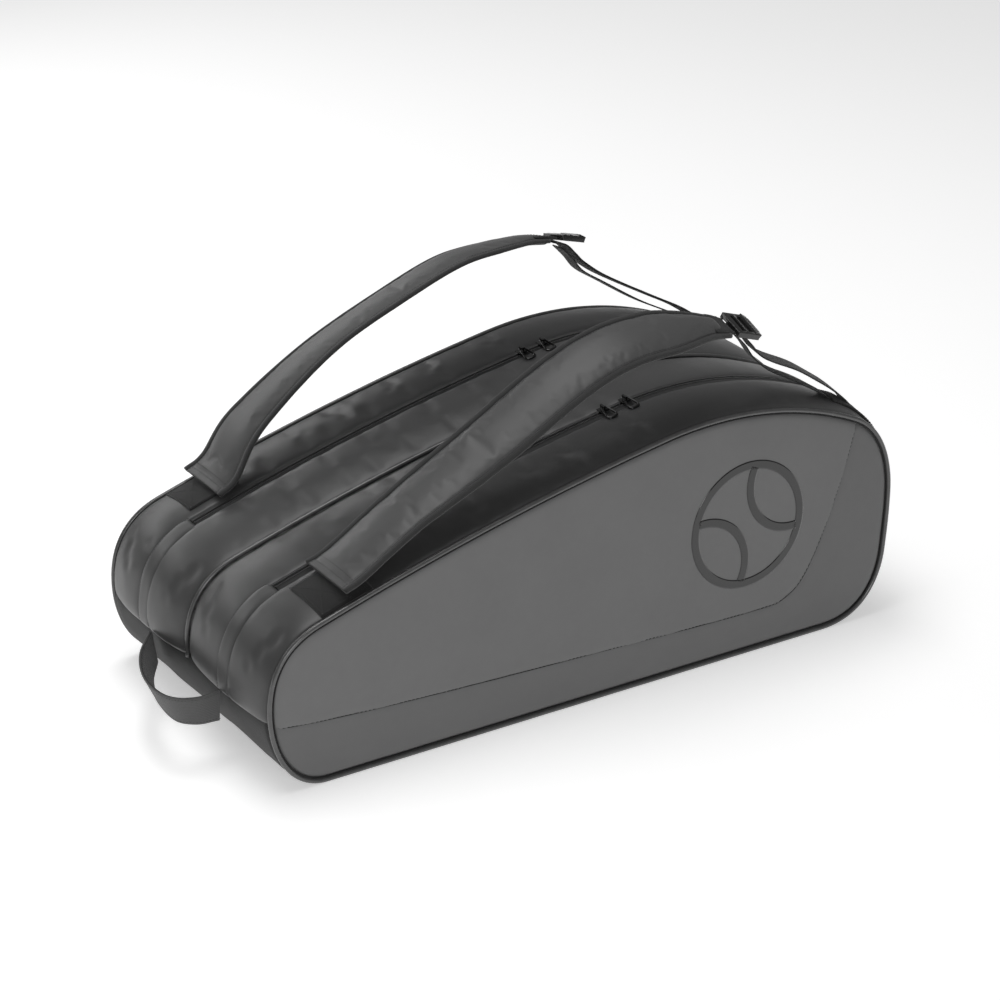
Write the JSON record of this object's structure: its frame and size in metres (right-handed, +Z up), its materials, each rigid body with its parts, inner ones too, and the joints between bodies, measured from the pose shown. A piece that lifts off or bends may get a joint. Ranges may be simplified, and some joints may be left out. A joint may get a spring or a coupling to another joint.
{
  "type": "racket tournament bag",
  "caption": "Long two-compartment racket bag with zipped front and rear covers that open outward, padded shoulder straps and a carry handle.",
  "frame": {"origin": "on the flat underside of the base, at the centre of the bag body", "axes": "+Z up, +X to the racket-head end, -X to the grip end with the carry handle, -Y the front cover"},
  "size_m": [0.8515, 0.352, 0.4087],
  "materials": {
    "panel_fabric": "matte coated fabric, faint sheen",
    "lower_fabric": "satin coated fabric",
    "gusset_fabric": "satin coated fabric",
    "ripstop_fabric": "matte ripstop weave",
    "piping_cord": "glossy coated piping",
    "black_webbing": "woven webbing, matte",
    "handle_webbing": "woven webbing, matte",
    "strap_fabric": "satin coated fabric",
    "strap_mesh": "padded mesh, matte",
    "foam_sheet": "soft foam sheet",
    "lining_fabric": "smooth lining",
    "base_sheet": "stiff plastic sheet",
    "zip_tape": "woven tape with coil teeth",
    "black_metal": "gloss black plated zip metal",
    "buckle_plastic": "gloss black",
    "emblem_film": "mirror-gloss film"
  },
  "bodies": {
    "bag_body": {"base_shell": "ripstop_fabric", "base_board": "base_sheet", "centre_divider": "lining_fabric", "centre_piping": "piping_cord", "zip_grab_tab": "black_webbing", "front_inner_gusset": "gusset_fabric", "front_zip_inner_tape": "zip_tape", "front_grip_end_strip": "gusset_fabric", "front_head_end_strip": "gusset_fabric", "front_lower_panel": "lower_fabric", "front_lower_foam": "foam_sheet", "front_lower_piping": "piping_cord", "rear_inner_gusset": "gusset_fabric", "rear_zip_inner_tape": "zip_tape", "rear_grip_end_strip": "gusset_fabric", "rear_head_end_strip": "gusset_fabric", "rear_lower_panel": "lower_fabric", "rear_lower_foam": "foam_sheet", "rear_lower_piping": "piping_cord"},
    "front_cover": {"front_main_panel": "panel_fabric", "front_head_panel": "lower_fabric", "front_foam": "foam_sheet", "front_lining": "lining_fabric", "front_outer_gusset": "gusset_fabric", "front_zip_outer_tape": "zip_tape", "front_piping": "piping_cord", "front_strap_patch": "black_webbing", "front_strap_tab": "ripstop_fabric", "front_emblem": "emblem_film"},
    "front_strap": {"front_strap_pad": "strap_mesh", "front_strap_face": "strap_fabric", "front_strap_end_tab": "ripstop_fabric", "front_strap_webbing": "black_webbing", "front_strap_tail": "black_webbing"},
    "front_buckle": {"front_strap_buckle": "buckle_plastic"},
    "front_grip_slider": {"front_grip_side_slider": "black_metal"},
    "front_grip_pull": {"front_grip_side_pull": "black_metal"},
    "front_head_slider": {"front_head_side_slider": "black_metal"},
    "front_head_pull": {"front_head_side_pull": "black_metal"},
    "rear_cover": {"rear_main_panel": "panel_fabric", "rear_head_panel": "lower_fabric", "rear_foam": "foam_sheet", "rear_lining": "lining_fabric", "rear_outer_gusset": "gusset_fabric", "rear_zip_outer_tape": "zip_tape", "rear_piping": "piping_cord", "rear_strap_patch": "black_webbing", "rear_strap_tab": "ripstop_fabric"},
    "rear_strap": {"rear_strap_pad": "strap_mesh", "rear_strap_face": "strap_fabric", "rear_strap_end_tab": "ripstop_fabric", "rear_strap_webbing": "black_webbing", "rear_strap_tail": "black_webbing"},
    "rear_buckle": {"rear_strap_buckle": "buckle_plastic"},
    "rear_grip_slider": {"rear_grip_side_slider": "black_metal"},
    "rear_grip_pull": {"rear_grip_side_pull": "black_metal"},
    "rear_head_slider": {"rear_head_side_slider": "black_metal"},
    "rear_head_pull": {"rear_head_side_pull": "black_metal"},
    "handle": {"carry_handle": "handle_webbing"}
  },
  "joints": [
    {"name": "front_cover_open", "type": "hinge", "parent": "bag_body", "child": "front_cover", "pos_m": [0, -0.176, 0.08], "axis": [1, 0, 0], "range_deg": [0, 60]},
    {"name": "front_strap_swing", "type": "hinge", "parent": "front_cover", "child": "front_strap", "pos_m": [-0.285, -0.132, 0.2], "axis": [0.9969, 0, 0.0792], "range_deg": [-12, 20]},
    {"name": "front_buckle_tilt", "type": "hinge", "parent": "front_strap", "child": "front_buckle", "pos_m": [0.194, -0.132, 0.362], "axis": [0, -1, 0], "range_deg": [0, 30]},
    {"name": "front_grip_slider_run", "type": "hinge", "parent": "front_cover", "child": "front_grip_slider", "pos_m": [0.59595, -0.088, -2.67617], "axis": [0, -1, 0], "range_deg": [0, 7.52]},
    {"name": "front_grip_pull_swing", "type": "hinge", "parent": "front_grip_slider", "child": "front_grip_pull", "pos_m": [0.06407, -0.088, 0.28738], "axis": [-0.9843, 0, -0.1766], "range_deg": [0, 150]},
    {"name": "front_head_slider_run", "type": "hinge", "parent": "front_cover", "child": "front_head_slider", "pos_m": [0.155, -0.088, -0.125], "axis": [0, 1, 0], "range_deg": [0, 32.65]},
    {"name": "front_head_pull_swing", "type": "hinge", "parent": "front_head_slider", "child": "front_head_pull", "pos_m": [0.09136, -0.088, 0.29207], "axis": [-0.9886, 0, -0.1509], "range_deg": [0, 150]},
    {"name": "rear_cover_open", "type": "hinge", "parent": "bag_body", "child": "rear_cover", "pos_m": [0, 0.176, 0.08], "axis": [-1, 0, 0], "range_deg": [0, 60]},
    {"name": "rear_strap_swing", "type": "hinge", "parent": "rear_cover", "child": "rear_strap", "pos_m": [-0.285, 0.132, 0.2], "axis": [-0.9969, 0, -0.0792], "range_deg": [-12, 20]},
    {"name": "rear_buckle_tilt", "type": "hinge", "parent": "rear_strap", "child": "rear_buckle", "pos_m": [0.146, 0.132, 0.388], "axis": [0, -1, 0], "range_deg": [0, 30]},
    {"name": "rear_grip_slider_run", "type": "hinge", "parent": "bag_body", "child": "rear_grip_slider", "pos_m": [0.59595, 0.088, -2.67617], "axis": [0, -1, 0], "range_deg": [0, 7.76]},
    {"name": "rear_grip_pull_swing", "type": "hinge", "parent": "rear_grip_slider", "child": "rear_grip_pull", "pos_m": [0.07612, 0.088, 0.28951], "axis": [-0.985, 0, -0.1727], "range_deg": [0, 150]},
    {"name": "rear_head_slider_run", "type": "hinge", "parent": "bag_body", "child": "rear_head_slider", "pos_m": [0.155, 0.088, -0.125], "axis": [0, 1, 0], "range_deg": [0, 31.1]},
    {"name": "rear_head_pull_swing", "type": "hinge", "parent": "rear_head_slider", "child": "rear_head_pull", "pos_m": [0.10265, 0.088, 0.29364], "axis": [-0.9923, 0, -0.1241], "range_deg": [0, 150]},
    {"name": "handle_swing", "type": "hinge", "parent": "bag_body", "child": "handle", "pos_m": [-0.391, 0, 0.06], "axis": [0, 1, 0], "range_deg": [-30, 15]}
  ]
}
